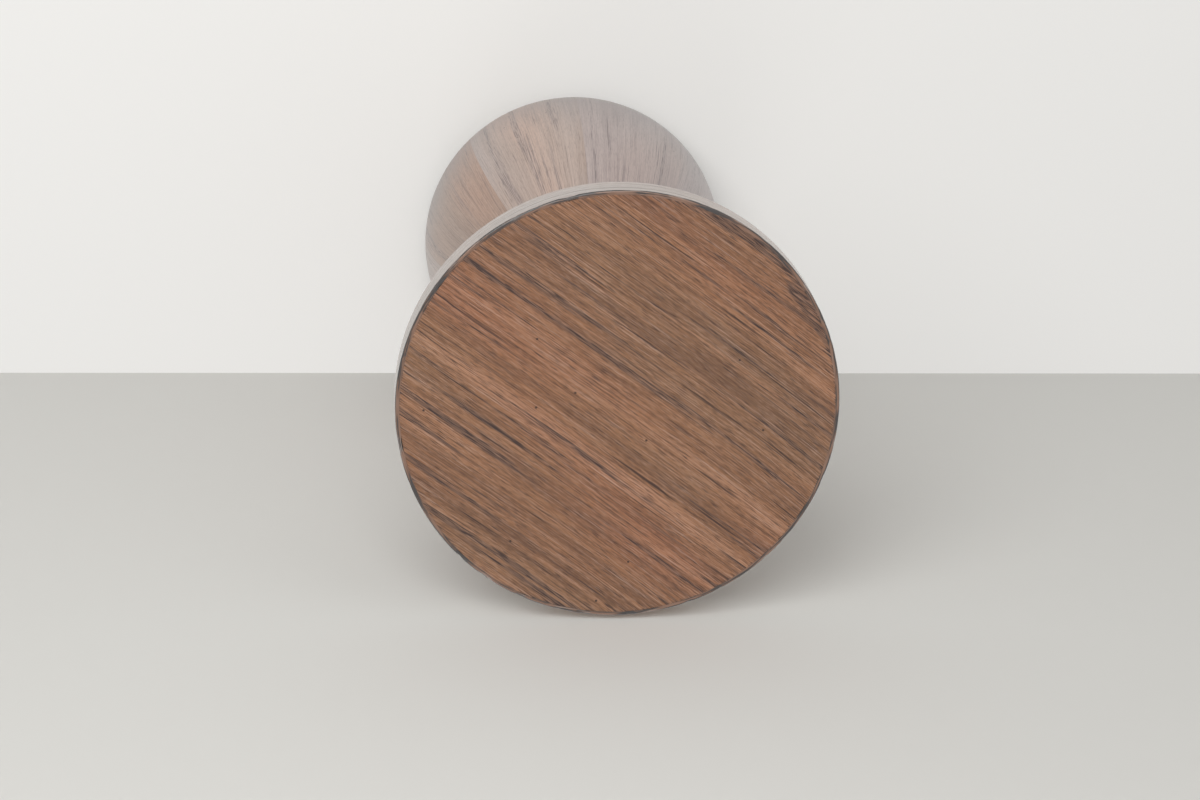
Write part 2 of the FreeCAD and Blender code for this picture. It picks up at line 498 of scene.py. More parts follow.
    def surface(self, tree: Tree) -> Node:
        """Draws the grain, its stain, its edges and its sealer.

        Args:
            tree: The material's nodes.

        Returns:
            The finished shader.
        """
        grain, place = self.coordinates(tree)
        fibres, streaks = self.FIBRES.draw(tree, grain), self.STREAKS.draw(tree, grain)
        colour = self.plain_grain(tree, grain, fibres)
        broken = add_node(tree, FADE, (fibres, *self.BROKEN), **SOFT)
        zone = add_node(tree, FADE, (streaks, *self.STREAKED), **SOFT)
        if self.rim_stain is not None:
            rim = self.rim_stain.draw(tree, place, grain)
            zone = add_node(tree, MATH, (zone, rim), operation="MAXIMUM")
        veil = add_node(tree, MATH, (zone, broken), operation="MULTIPLY")
        colour = Wash(0.0, 1.0, self.streak_cover, self.streak).lay(tree, veil, colour)
        marks = self.stain(tree, grain, zone, broken)
        colour = Wash(0.0, 1.0, self.pore_cover, self.pore).lay(tree, marks, colour)
        # Painted shade: darker and greyer towards the foot
        if self.foot_shade is not None:
            height = add_node(tree, "ShaderNodeSeparateXYZ", [place]).outputs[2]
            uneven = (streaks, self.FOOT_SHADE_DRIFT_MM * MM, height)
            colour = self.foot_shade.lay(tree, add_node(tree, MATH, uneven, operation="MULTIPLY_ADD"), colour)
        for edge in self.burnish:
            colour = edge.lay(tree, place, grain, colour)
        dull = add_node(tree, FADE, (marks, 0.0, 1.0, self.roughness, self.roughness + self.PORE_ROUGHER))
        raised = add_node(tree, MATH, (fibres, self.FIBRE_HEIGHT), operation="MULTIPLY")
        height = add_node(tree, MATH, (raised, marks), operation="SUBTRACT")
        relief = {"Strength": self.BUMP, "Distance": self.PORE_DEPTH_MM * MM, "Height": height}
        return add_node(tree, "ShaderNodeBsdfPrincipled", {
            "Base Color": colour, "Roughness": dull, "Normal": add_node(tree, "ShaderNodeBump", relief),
            "IOR": self.LACQUER_IOR, "Coat Weight": self.coat, "Coat Roughness": self.coat_roughness,
            "Coat IOR": self.LACQUER_IOR,
        })


def lime_and_sheen_wood(name: str, *burnish: Burnish) -> StainedWood:
    """Describes the same hardwood rubbed with a thin lime wash under a clear coat.

    The wash pales the brown and evens out the grain, and the coat gives a soft sheen at low angles. The
    wash's pale colours are also partly painted sheen, standing in for the pale room's reflection at low
    angles.

    Args:
        name: The material's name.
        *burnish: Its dark edges.

    Returns:
        The finish.
    """
    return StainedWood(
        name, GrainPath.ALONG_UV, burnish,
        # Painted sheen: these pale wash colours stand partly for the pale room's reflection at low angles
        light="#CAB6AB", middle="#B8A397", dark="#8D7A70", streak="#807373", pore="#584C4E", fleck="#CFC0B9",
        ruddy="#C5A492", olive="#A9A0A1", area_cover=0.7, streak_cover=0.45, pore_cover=0.5, contrast=0.65,
        roughness=0.5, coat=0.9,
    )


@dataclass(frozen=True)
class CloudedFinish(Finish):
    """A plain finish that flecks, clouds or scuffs of a second colour vary.

    Attributes:
        ground: Its usual colour.
        cloud: Colour of its clouds.
        cloud_mm: Their size along the three axes.
        levels: Levels of the noise between which they come in.
        roughness: Roughness of the ground and of the clouds.
        dull_levels: Levels of the noise between which the roughness changes.
        detail: How many finer octaves ride on the clouds.
        fineness: How strong those are.
        bump: Strength of its relief.
        depth_mm: Depth of its relief.
        pebble_mm: Spacing of a moulded pebble, or None where the clouds are the relief.
        metallic: 1 for a metal.
        ior: Index of refraction.
    """

    ground: str
    cloud: str
    cloud_mm: tuple[float, float, float]
    levels: tuple[float, float] = (0.32, 0.68)
    roughness: tuple[float, float] = (0.72, 0.92)
    dull_levels: tuple[float, float] = (0.0, 1.0)
    detail: float = 6.0
    fineness: float = 0.65
    bump: float = 0.4
    depth_mm: float = 0.2
    pebble_mm: float | None = None
    metallic: float = 0.0
    ior: float = 1.5

    def surface(self, tree: Tree) -> Node:
        """Draws the clouds and the relief.

        Args:
            tree: The material's nodes.

        Returns:
            The finished shader.
        """
        place = add_node(tree, "ShaderNodeTexCoord").outputs["Object"]
        scale = tuple(1.0 / (size * MM) for size in self.cloud_mm)
        spread = add_node(tree, "ShaderNodeMapping", {"Vector": place, "Scale": scale})
        noise = {"Vector": spread, "Scale": 1.0, "Detail": self.detail, "Roughness": self.fineness}
        clouds = add_node(tree, "ShaderNodeTexNoise", noise)
        raised = clouds
        if self.pebble_mm is not None:
            cells = {"Vector": place, "Scale": 1.0 / (self.pebble_mm * MM)}
            raised = add_node(tree, "ShaderNodeTexVoronoi", cells)
        relief = {"Strength": self.bump, "Distance": self.depth_mm * MM, "Height": raised}
        return add_node(tree, "ShaderNodeBsdfPrincipled", {
            "Base Color": Wash(*self.levels, 1.0, self.cloud).lay(tree, clouds, linear(self.ground)),
            "Roughness": add_node(tree, FADE, (clouds, *self.dull_levels, *self.roughness)),
            "Normal": add_node(tree, "ShaderNodeBump", relief), "Metallic": self.metallic, "IOR": self.ior,
        })


# Pressed fibreboard is dry, matt and tan, flecked with short fibres
FIBREBOARD = CloudedFinish("medium_density_fibreboard", "#8E6E4C", "#B4916A", (1.2, 1.2, 0.5))
# Sawn poplar is dry and pale, with faint lines along its grain
POPLAR = CloudedFinish("sawn_poplar", "#A98A60", "#C9AC83", (3.0, 3.0, 60.0))
# Raw birch plywood is dry and pale, with lines along its faces and its plies on edge
PLYWOOD = CloudedFinish("birch_plywood", "#AC8C63", "#CBAE86", (40.0, 4.0, 1.5))
# Zinc plating on steel is a grey metal with a faint cloudy spangle
ZINC_PLATE = CloudedFinish(
    "zinc_plated_steel", "#A09F9A", "#C4C3BE", (4.0, 4.0, 4.0), (0.0, 1.0), (0.45, 0.3),
    detail=4.0, fineness=0.5, bump=0.2, depth_mm=0.05, metallic=1.0,
)
# Moulded nylon is near-black and matt, with the fine pebble of a spark-worn mould and paler scuffs
NYLON = CloudedFinish(
    "moulded_nylon", "#2B2724", "#4A4541", (5.0, 5.0, 5.0), (0.5, 0.75), (0.5, 0.75), (0.5, 0.75),
    detail=5.0, fineness=0.7, bump=0.25, depth_mm=0.05, pebble_mm=0.5, ior=1.53,
)


def arc(centre: tuple[float, float], radius: float, start: float, end: float, steps: int) -> Outline:
    """Samples an arc in the half-plane of radius and height.

    Args:
        centre: Its centre's radius and height.
        radius: Its radius.
        start: First angle in degrees.
        end: Last angle in degrees.
        steps: Number of pieces.

    Returns:
        The points from first to last.
    """
    turns = [math.radians(start + (end - start) * i / steps) for i in range(steps + 1)]
    return [(centre[0] + radius * math.cos(t), centre[1] + radius * math.sin(t)) for t in turns]


def joined(*runs: Outline) -> Outline:
    """Joins runs of points, leaving out a point that repeats the one before it.

    Args:
        *runs: The runs, in order.

    Returns:
        One outline.
    """
    points: Outline = []
    for point in (p for run in runs for p in run):
        if not points or math.dist(points[-1], point) > SAME_POINT:
            points.append(point)
    return points


def divided(points: Outline, step: float) -> Outline:
    """Divides an outline's long runs.

    Args:
        points: The outline.
        step: Longest run that stays whole.

    Returns:
        The outline with points added on its runs.
    """
    fine = [points[0]]
    for first, second in zip(points, points[1:]):
        count = max(1, math.ceil(math.dist(first, second) / step))
        step_r, step_z = ((b - a) / count for a, b in zip(first, second))
        fine += [(first[0] + step_r * i, first[1] + step_z * i) for i in range(1, count + 1)]
    return fine


@dataclass
class TurnedForm:
    """A closed outline turned about the table's axis, all round or through part of a turn.

    Attributes:
        outline: Radius and height in millimetres, closed, the first point not repeated.
        start: Angle of its first section, in degrees.
        sweep: How far it is turned, in degrees.
        steps: Number of sections.
        uv_radius: Radius at which a turn is laid out flat in the UV map, in millimetres.
        uv_shift: Moves the UV map, in millimetres, so that neighbours' grain differs.
    """

    outline: Outline
    start: float = 0.0
    sweep: float = 360.0
    steps: int = 360
    uv_radius: float = 100.0
    uv_shift: tuple[float, float] = (0.0, 0.0)

    def mesh(self, name: str) -> bpy.types.Mesh:
        """Builds the mesh.

        Args:
            name: The mesh's name.

        Returns:
            A closed mesh in metres with a UV map in metres.
        """
        whole = self.sweep >= 360.0
        form = bmesh.new()
        uv = form.loops.layers.uv.new("grain")
        rows = []
        for i in range(self.steps if whole else self.steps + 1):
            turn = math.radians(self.start + self.sweep * i / self.steps)
            across, along = math.cos(turn) * MM, math.sin(turn) * MM
            rows.append([form.verts.new((r * across, r * along, z * MM)) for r, z in self.outline])
        lengths = [0.0]
        for first, second in zip(self.outline, self.outline[1:] + self.outline[:1]):
            lengths.append(lengths[-1] + math.dist(first, second))
        count = len(self.outline)
        width = math.radians(self.sweep) * self.uv_radius
        for i in range(self.steps):
            near, far = rows[i], rows[(i + 1) % len(rows)]
            for j in range(count):
                k = (j + 1) % count
                face = form.faces.new((near[j], far[j], far[k], near[k]))
                corners = ((i, j), (i + 1, j), (i + 1, j + 1), (i, j + 1))
                for loop, (section, place) in zip(face.loops, corners):
                    across_mm = width * section / self.steps + self.uv_shift[0]
                    loop[uv].uv = (across_mm * MM, (lengths[place] + self.uv_shift[1]) * MM)
        if not whole:
            for row in (rows[0], rows[-1]):
                cap = form.faces.new(row)
                for loop, (r, z) in zip(cap.loops, self.outline):
                    loop[uv].uv = ((r + self.uv_shift[0]) * MM, (z + self.uv_shift[1]) * MM)
        bmesh.ops.recalc_face_normals(form, faces=form.faces)
        mesh = bpy.data.meshes.new(name)
        form.to_mesh(mesh)
        form.free()
        return mesh


def smooth(mesh: bpy.types.Mesh) -> None:
    """Shades a mesh smoothly, apart from its sharp edges."""
    mesh.polygons.foreach_set("use_smooth", [True] * len(mesh.polygons))
    mesh.set_sharp_from_angle(angle=SHARP_ANGLE)


def show(name: str, mesh: bpy.types.Mesh, material: bpy.types.Material) -> bpy.types.Object:
    """Puts a mesh into the scene.

    Args:
        name: The object's name.
        mesh: Its mesh.
        material: Its one material.

    Returns:
        The new object.
    """
    mesh.materials.clear()
    mesh.materials.append(material)
    smooth(mesh)
    piece = bpy.data.objects.new(name, mesh)
    bpy.context.scene.collection.objects.link(piece)
    return piece


def stand_for(piece: bpy.types.Object, slot: str, *nodes: str) -> bpy.types.Object:
    """Fixes a piece to the table in place of its CAD nodes.

    Args:
        piece: The finished piece.
        slot: The record's material slot; not used.
        *nodes: The CAD nodes that it stands for.

    Returns:
        The same piece.
    """
    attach(piece, BODY)
    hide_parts(*nodes)
    LOG.info("%s: %d faces, stands for %s", piece.name, len(piece.data.polygons), ", ".join(nodes))
    return piece


def dress(material: bpy.types.Material, *nodes: str) -> None:
    """Gives CAD nodes a finish.

    Args:
        material: The finish.
        *nodes: The nodes' names.
    """
    for name in nodes:
        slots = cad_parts[name].material_slots
        for slot in slots:
            slot.material = material
        LOG.info("%s: finished in %s", name, material.name)


def box_mm(node: str) -> list[Vector]:
    """Gives the lowest and the highest corner of a CAD node, in millimetres."""
    return [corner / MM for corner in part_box(node)]


class NodesModifier:
    """A Geometry Nodes tree with named inputs, and the way it is used on a piece."""

    def __init__(self, name: str, inputs: dict[str, str]) -> None:
        """Starts the tree.

        Args:
            name: The tree's name.
            inputs: Each input's name and socket type.
        """
        self.tree = bpy.data.node_groups.new(name, "GeometryNodeTree")
        sockets = self.tree.interface
        sockets.new_socket("Geometry", in_out="INPUT", socket_type="NodeSocketGeometry")
        sockets.new_socket("Geometry", in_out="OUTPUT", socket_type="NodeSocketGeometry")
        for label, kind in inputs.items():
            sockets.new_socket(label, in_out="INPUT", socket_type=kind)
        self.given = add_node(self.tree, "NodeGroupInput").outputs

    def end(self, geometry: Node) -> None:
        """Ends the tree with plain geometry in one finish.

        Args:
            geometry: The node that gives the geometry.
        """
        real = add_node(self.tree, "GeometryNodeRealizeInstances", [geometry])
        done = {"Geometry": real, "Material": self.given["Finish"]}
        add_node(self.tree, "NodeGroupOutput", [add_node(self.tree, "GeometryNodeSetMaterial", done)])

    def apply(self, piece: bpy.types.Object, **values: object) -> None:
        """Runs the tree on a piece and keeps the result as its mesh.

        Args:
            piece: The piece.
            **values: Inputs by name, with underscores for spaces.
        """
        modifier = piece.modifiers.new(self.tree.name, "NODES")
        modifier.node_group = self.tree
        for item in self.tree.interface.items_tree:
            key = item.name.replace(" ", "_")
            if item.in_out == "INPUT" and key in values:
                modifier[item.identifier] = values[key]
        bpy.context.view_layer.update()
        graph = bpy.context.evaluated_depsgraph_get()
        result = bpy.data.meshes.new_from_object(piece.evaluated_get(graph))
        piece.modifiers.clear()
        piece.data = result
        smooth(result)


class RingOfPieces(NodesModifier):
    """Sets one turned piece out evenly round the table's axis."""

    def __init__(self) -> None:
        """Builds the tree."""
        super().__init__("ring_of_pieces", {
            "Count": "NodeSocketInt", "Circle": "NodeSocketFloat", "First turn": "NodeSocketFloat",
            "Seed": "NodeSocketInt", "Finish": "NodeSocketMaterial",
        })
        tree, given = self.tree, self.given
        corners = {"Vertices": given["Count"], "Radius": given["Circle"]}
        circle = add_node(tree, "GeometryNodeMeshCircle", corners)
        # Places 2 and 3 are the least and the most of a random number, and place 1 is that number
        chance = {2: 0.0, 3: math.tau, "Seed": given["Seed"]}
        spun = add_node(tree, "FunctionNodeRandomValue", chance, data_type="FLOAT").outputs[1]
        own = add_node(tree, "ShaderNodeCombineXYZ", {2: spun})
        places = {"Points": circle, "Instance": given["Geometry"], "Rotation": own}
        ring = add_node(tree, "GeometryNodeInstanceOnPoints", places)
        first = add_node(tree, "ShaderNodeCombineXYZ", {2: given["First turn"]})
        self.end(add_node(tree, "GeometryNodeTransform", {"Geometry": ring, "Rotation": first}))


class WornArris(NodesModifier):
    """Rubs a hoop's upper edge back unevenly, as years of hands and a distressing rasp do."""

    CHIPPED = (0.5, 0.72)

    def __init__(self) -> None:
        """Builds the tree."""
        super().__init__("worn_arris", {
            "Edge height": "NodeSocketFloat", "Reach": "NodeSocketFloat", "Depth": "NodeSocketFloat",
            "Nick length": "NodeSocketFloat", "Seed": "NodeSocketFloat", "Finish": "NodeSocketMaterial",
        })
        tree, given = self.tree, self.given
        place = add_node(tree, "GeometryNodeInputPosition")
        height = add_node(tree, "ShaderNodeSeparateXYZ", [place]).outputs[2]
        fine = add_node(tree, MATH, (1.0, given["Nick length"]), operation="DIVIDE")
        noise = {"Vector": place, "W": given["Seed"], "Scale": fine, "Detail": 3.0, "Roughness": 0.6}
        chips = add_node(tree, "ShaderNodeTexNoise", noise, noise_dimensions="4D")
        chipped = add_node(tree, FADE, (chips, *self.CHIPPED), **SOFT)
        below = add_node(tree, MATH, (height, given["Edge height"]), operation="SUBTRACT")
        gap = add_node(tree, MATH, [below], operation="ABSOLUTE")
        near = add_node(tree, FADE, (gap, 0.0, given["Reach"], given["Depth"], 0.0))
        depth = add_node(tree, MATH, (near, chipped), operation="MULTIPLY")
        inwards = add_node(tree, MATH, (depth, -1.0), operation="MULTIPLY")
        normal = add_node(tree, "GeometryNodeInputNormal")
        move = add_node(tree, "ShaderNodeVectorMath", {0: normal, "Scale": inwards}, operation="SCALE")
        self.end(add_node(tree, "GeometryNodeSetPosition", {"Geometry": given["Geometry"], "Offset": move}))


@dataclass
class Dent:
    """A small pressed mark in the top face.

    Attributes:
        place: Its middle, in millimetres from the axis.
        radius: Its radius in millimetres.
        depth: Its depth in millimetres.
    """

    place: tuple[float, float]
    radius: float
    depth: float

    def sink(self, x: float, y: float) -> float:
        """Gives how far the face is pressed in at a point, in millimetres."""
        near = 1.0 - math.dist(self.place, (x, y)) / self.radius
        return self.depth * near * near * (3.0 - 2.0 * near) if near > 0.0 else 0.0


@dataclass
class TableTop:
    """The round top: a veneered board in a solid hoop with eased, burnished edges.

    Attributes:
        upper_arris: Radius of the hoop's upper edge, in millimetres.
        lower_arris: Radius of its lower edge.
        arris_steps: Pieces of each eased edge.
        side_step: Longest straight run of the hoop's side.
        ring_step: Spacing of the face's mesh.
        sections: Sections in a turn of the face and the hoop.
        chip_depth: Deepest wear on the upper edge.
        chip_reach: How far the wear runs down from that edge.
        chip_length: Typical length of a worn place.
        chip_seed: Settles where the worn places are.
        stain_reach: How far outside the face its rim stain is full.
        stain_width: How far that fades.
        stain_patch: How much further the stain's patches reach in.
        brown: Colour of the hoop's edges, which match the face.
        brown_thinned: Share of that colour that the rubbing takes off.
        brown_width: Width of those edges.
        arris_inset: Distance of the dark lines from the hoop's upper and lower side.
        arris_width: Width of the dark lines.
        dents: Pressed marks in the face.
    """

    upper_arris: float = 1.5
    lower_arris: float = 2.5
    arris_steps: int = 8
    side_step: float = 2.0
    ring_step: float = 1.5
    sections: int = 420
    chip_depth: float = 0.9
    chip_reach: float = 4.0
    chip_length: float = 14.0
    chip_seed: float = 3.0
    stain_reach: float = 1.6
    stain_width: float = 3.0
    stain_patch: float = 16.0
    brown: str = "#7A543B"
    brown_thinned: float = 0.2
    brown_width: float = 1.0
    arris_inset: float = 0.7
    arris_width: float = 0.8
    dents: tuple[Dent, ...] = (
        Dent((-100.0, 29.0), 5.0, 0.35),
        Dent((13.0, 98.0), 4.0, 0.30),
        Dent((30.0, -64.0), 2.6, 0.40),
        Dent((-17.0, -48.0), 2.6, 0.40),
    )

    def sunk(self, x: float, y: float) -> float:
        """Gives how far the dents press the face in at a point, in millimetres."""
        return max((dent.sink(x, y) for dent in self.dents), default=0.0)

    def face_mesh(self) -> bpy.types.Mesh:
        """Builds the show veneer: a closed disc with its dents pressed in.

        Returns:
            The mesh.
        """
        low, high = box_mm("top_face_veneer")
        radius = high.x
        rings = round(radius / self.ring_step)
        radii = [radius * i / rings for i in range(1, rings + 1)]
        turns = [math.tau * i / self.sections for i in range(self.sections)]
        ways = [(math.cos(turn), math.sin(turn)) for turn in turns]
        form = bmesh.new()
        rows = []
        for r in radii:
            places = [(r * x, r * y) for x, y in ways]
            points = [(x * MM, y * MM, (high.z - self.sunk(x, y)) * MM) for x, y in places]
            rows.append([form.verts.new(point) for point in points])
        rows.append([form.verts.new((radius * x * MM, radius * y * MM, low.z * MM)) for x, y in ways])
        top = form.verts.new((0.0, 0.0, (high.z - self.sunk(0.0, 0.0)) * MM))
        bottom = form.verts.new((0.0, 0.0, low.z * MM))
        for i in range(self.sections):
            k = (i + 1) % self.sections
            form.faces.new((top, rows[0][i], rows[0][k]))
            form.faces.new((bottom, rows[-1][k], rows[-1][i]))
            for inner, outer in zip(rows, rows[1:]):
                form.faces.new((inner[i], outer[i], outer[k], inner[k]))
        bmesh.ops.recalc_face_normals(form, faces=form.faces)
        mesh = bpy.data.meshes.new("top_face")
        form.to_mesh(mesh)
        form.free()
        return mesh

    def face_edge(self) -> float:
        """Gives the radius at which the face ends and the hoop starts, in millimetres."""
        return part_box("top_face_veneer")[1].x / MM

    def hoop_outline(self) -> Outline:
        """Gives the hoop's section: a flat band with two eased outer edges.

        Returns:
            The closed outline in millimetres.
        """
        low, high = box_mm("top_edge_band")
        face_edge = self.face_edge()
        upper, lower = self.upper_arris, self.lower_arris
        outer = high.x
        return joined(
            [(face_edge, high.z)],
            arc((outer - upper, high.z - upper), upper, 90.0, 0.0, self.arris_steps),
            divided([(outer, high.z - upper), (outer, low.z + lower)], self.side_step),
            arc((outer - lower, low.z + lower), lower, 0.0, -90.0, self.arris_steps),
            [(face_edge, low.z)],
        )

    def hoop_mesh(self) -> bpy.types.Mesh:
        """Builds the hoop: two bent halves with book-matched grain, which runs round the rim.

        Returns:
            The mesh.
        """
        radius = box_mm("top_edge_band")[1].x
        mesh = TurnedForm(self.hoop_outline(), steps=self.sections, uv_radius=radius).mesh("top_hoop")
        half_round = math.pi * radius * MM
        for loop in mesh.uv_layers["grain"].data:
            loop.uv = (loop.uv[1], abs(loop.uv[0] - half_round))
        return mesh

    def hoop_finish(self) -> StainedWood:
        """Describes the hoop's lime-washed wood, its pale colours partly painted sheen, with a brown edge
        and a dark line at each arris.

        Returns:
            The finish.
        """
        low, high = (corner.z for corner in box_mm("top_edge_band"))
        edges = Burnish((low, high), self.brown_width, self.brown, self.brown_thinned)
        lines = Burnish((low + self.arris_inset, high - self.arris_inset), self.arris_width)
        return replace(
            lime_and_sheen_wood("limed_solid_edge", edges, lines),
            # Painted sheen: these pale, greyish colours stand partly for the pale room's reflection on the
            # hoop's side at low angles
            light="#C6B7AD", middle="#AE9C91", dark="#86756A", streak="#75685F", ruddy="#B49A8A",
            olive="#A39A95", streak_cover=0.6, contrast=0.8, coat=1.0, coat_roughness=0.25,
        )

    def build(self, arris: WornArris) -> None:
        """Builds and dresses the top.

        Args:
            arris: The tree that wears the hoop's edge.
        """
        stain = RimStain(self.face_edge() + self.stain_reach, self.stain_width, self.stain_patch)
        face_wood = StainedWood("stained_open_pore_veneer", GrainPath.ACROSS_TOP, rim_stain=stain).build()
        hoop_wood = self.hoop_finish().build()
        stand_for(show("top_face", self.face_mesh(), face_wood), "face_veneer", "top_face_veneer")
        band = show("top_hoop", self.hoop_mesh(), hoop_wood)
        edge_height = box_mm("top_edge_band")[1].z * MM
        arris.apply(
            band, Edge_height=edge_height, Reach=self.chip_reach * MM, Depth=self.chip_depth * MM,
            Nick_length=self.chip_length * MM, Seed=self.chip_seed, Finish=hoop_wood,
        )
        stand_for(band, "edge_band", "top_edge_band")
        dress(face_wood, "top_back_veneer")
        dress(FIBREBOARD.build(), "top_core")


class StaveTone(Enum):
    """Tone of the board that a stave was cut from."""

    WARM = "warm"
    COOL = "cool"
    BROWN = "brown"


@dataclass
class Pedestal:
    """The bell: eight staves glued round a hollow and turned to one smooth form.

    Attributes:
        staves: Tone of each stave, in order round the axis.
        widest_z: Height of the widest circle, in millimetres.
        neck_z: Height of the neck.
        bend_z: Height at which the belly turns into the hollow curve.
        base_radius: Widest radius.
        neck_radius: Radius at the neck.
        foot_radius: Radius of the flat foot.
        foot_z: Height of the foot's underside.
        collar_z: Height of the collar, under the top.
        collar_radius: Radius of the collar.
        bore: The stave's inner outline, from the collar down to the foot.
        curve_steps: Pieces of the outside's four curves, from the foot up.
        sections: Sections in one stave.
        bore_step: Longest straight run of the inner outline.
        flat_share: Share of the widest radius at which a stave's grain is laid out flat.
        grain_steps: How far each stave's grain moves on from its neighbour's, across and along.
        grain_spans: Lengths after which those steps start again.
        burnish_width: How far the burnish fades from the foot and the collar.
        foot_shade_high: Height up to which the painted shade darkens the foot.
        foot_shade_cover: How much of that painted shade shows at the foot.
        foot_shade_colour: Its grey.
    """

    staves: tuple[StaveTone, ...] = (
        StaveTone.BROWN, StaveTone.WARM, StaveTone.COOL, StaveTone.WARM,
        StaveTone.BROWN, StaveTone.COOL, StaveTone.COOL, StaveTone.WARM,
    )
    widest_z: float = 21.0
    neck_z: float = 291.0
    bend_z: float = 173.0
    base_radius: float = 118.0
    neck_radius: float = 46.0
    foot_radius: float = 100.0
    foot_z: float = 3.0
    collar_z: float = 431.0
    collar_radius: float = 74.0
    bore: Outline = field(default_factory=lambda: [
        (58.0, 431.0), (58.0, 427.0), (26.0, 427.0), (26.0, 277.0), (64.0, 21.0), (78.0, 21.0), (78.0, 3.0),
    ])
    curve_steps: tuple[int, int, int, int] = (14, 40, 30, 34)
    sections: int = 40
    bore_step: float = 16.0
    flat_share: float = 0.85
    grain_steps: tuple[float, float] = (613.0, 377.0)
    grain_spans: tuple[float, float] = (1000.0, 900.0)
    burnish_width: float = 1.5
    foot_shade_high: float = 130.0
    foot_shade_cover: float = 0.75
    foot_shade_colour: str = "#72696A"

    # What each tone changes in the lime-washed wood, whose pale colours are partly painted sheen
    TONES = {
        StaveTone.WARM: dict(),
        StaveTone.COOL: dict(
            light="#C3B4AE", middle="#AFA09C", dark="#857674", ruddy="#B39F98", olive="#A19A9E",
        ),
        StaveTone.BROWN: dict(
            light="#BBA190", middle="#A48A7A", dark="#7C6557", ruddy="#B08B76", olive="#988B84",
        ),
    }

    def bell(self) -> Outline:
        """Gives the turned outside, from the foot up: rounding, belly, hollow curve and flared collar.

        Returns:
            The open outline in millimetres.
        """
        rounding = self.base_radius - self.foot_radius
        narrowing = self.base_radius - self.neck_radius
        rise = self.neck_z - self.widest_z
        both = (narrowing ** 2 + rise ** 2) / (2.0 * narrowing)
        belly = both * (self.bend_z - self.widest_z) / rise
        hollow = both - belly
        slant = math.degrees(math.asin(rise / both))
        drop = self.collar_z - self.neck_z
        spread = self.collar_radius - self.neck_radius
        flare = (drop ** 2 + spread ** 2) / (2.0 * spread)
        flare_turn = math.degrees(math.asin(drop / flare))
        foot_steps, belly_steps, hollow_steps, flare_steps = self.curve_steps
        return joined(
            arc((self.foot_radius, self.widest_z), rounding, -90.0, 0.0, foot_steps),
            arc((self.base_radius - belly, self.widest_z), belly, 0.0, slant, belly_steps),
            arc((self.neck_radius + hollow, self.neck_z), hollow, 180.0 + slant, 180.0, hollow_steps),
            arc((self.neck_radius + flare, self.neck_z), flare, 180.0, 180.0 - flare_turn, flare_steps),
        )

    def woods(self) -> dict[StaveTone, bpy.types.Material]:
        """Makes the staves' woods.

        Returns:
            The material of each tone.
        """
        edges = Burnish((self.foot_z, self.collar_z), self.burnish_width)
        # Painted shade: the bell darker and greyer towards the foot
        foot_shade_wash = Wash(self.foot_shade_high * MM, self.foot_z * MM, self.foot_shade_cover, self.foot_shade_colour)
        made = {}
        for tone, colours in self.TONES.items():
            lime_and_sheen = lime_and_sheen_wood(f"limed_turned_hardwood_{tone.value}", edges)
            made[tone] = replace(lime_and_sheen, foot_shade=foot_shade_wash, **colours).build()
        return made

    def build(self) -> None:
        """Builds and dresses the staves and the pieces inside them."""
        woods = self.woods()
        outline = joined(self.bell(), divided(self.bore, self.bore_step))
        share = 360.0 / len(self.staves)
        for i, tone in enumerate(self.staves):
            shift = tuple(i * step % span for step, span in zip(self.grain_steps, self.grain_spans))
            flat_radius = self.base_radius * self.flat_share
            form = TurnedForm(outline, share * i, share, self.sections, flat_radius, shift)
            name = f"stave_{i + 1}"
            stand_for(show(name, form.mesh(name), woods[tone]), "stave_wood", f"pedestal_stave_{i + 1}")
        dress(POPLAR.build(), "neck_plug", "locating_dowels")
        dress(PLYWOOD.build(), "base_board")


